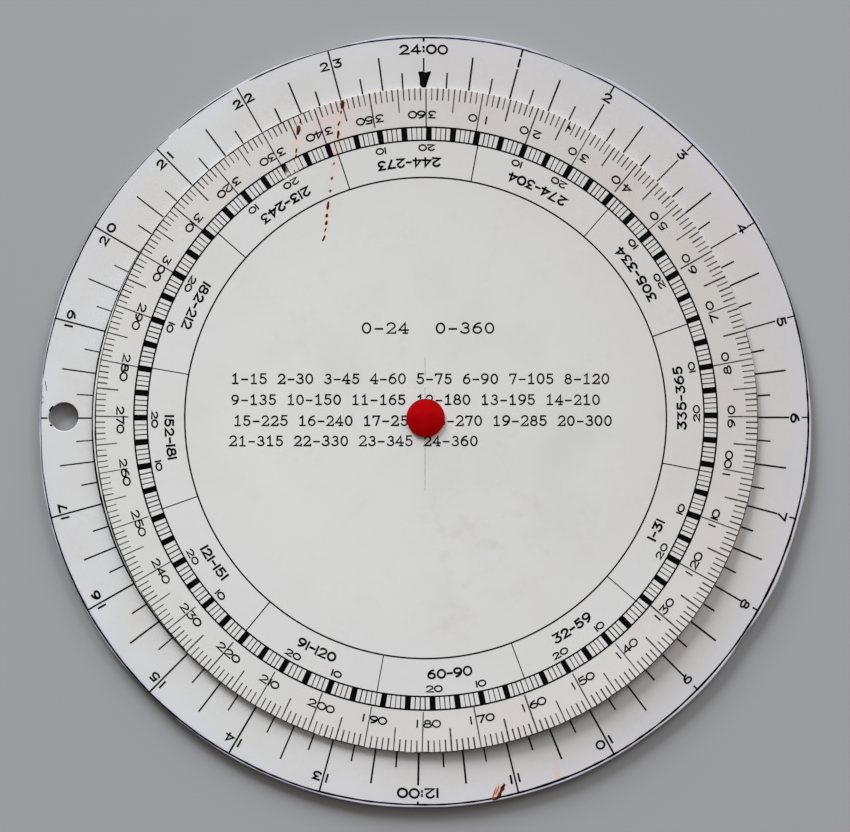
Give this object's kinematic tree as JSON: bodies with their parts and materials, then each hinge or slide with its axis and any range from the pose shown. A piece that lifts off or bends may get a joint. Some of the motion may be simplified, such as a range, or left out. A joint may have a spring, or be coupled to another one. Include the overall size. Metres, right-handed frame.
{
  "type": "star finder",
  "caption": "Printed round sheets on a red snap rivet: a dial of degrees and dates turns in front of an hour-scale base with a hanging hole.",
  "frame": {"origin": "on the pivot axis, at the underside of the rivet socket's foot, which is the lowest face", "axes": "+Z out of the printed face along the pivot, +Y towards the 24-hour mark with its arrowhead, +X towards the 6-hour line"},
  "size_m": [0.1916, 0.1916, 0.0039],
  "materials": {
    "base_sheet": "matt white printed card-like sheet, slightly pink at the right and bluish at the left",
    "dial_sheet": "matt white printed card-like sheet, its outer band slightly warmer",
    "rivet_red": "moulded red plastic, satin",
    "print_ink": "printed black ink, worn and greyish in places",
    "rust_stain": "dried rust-brown spots"
  },
  "bodies": {
    "base": {"base_disc": "base_sheet", "rivet_button": "rivet_red", "rivet_socket": "rivet_red"},
    "dial": {"dial_disc": "dial_sheet"}
  },
  "joints": [
    {"name": "dial_turn", "type": "hinge", "parent": "base", "child": "dial", "pos_m": [0, 0, 0.002], "axis": [0, 0, 1], "continuous": true}
  ]
}
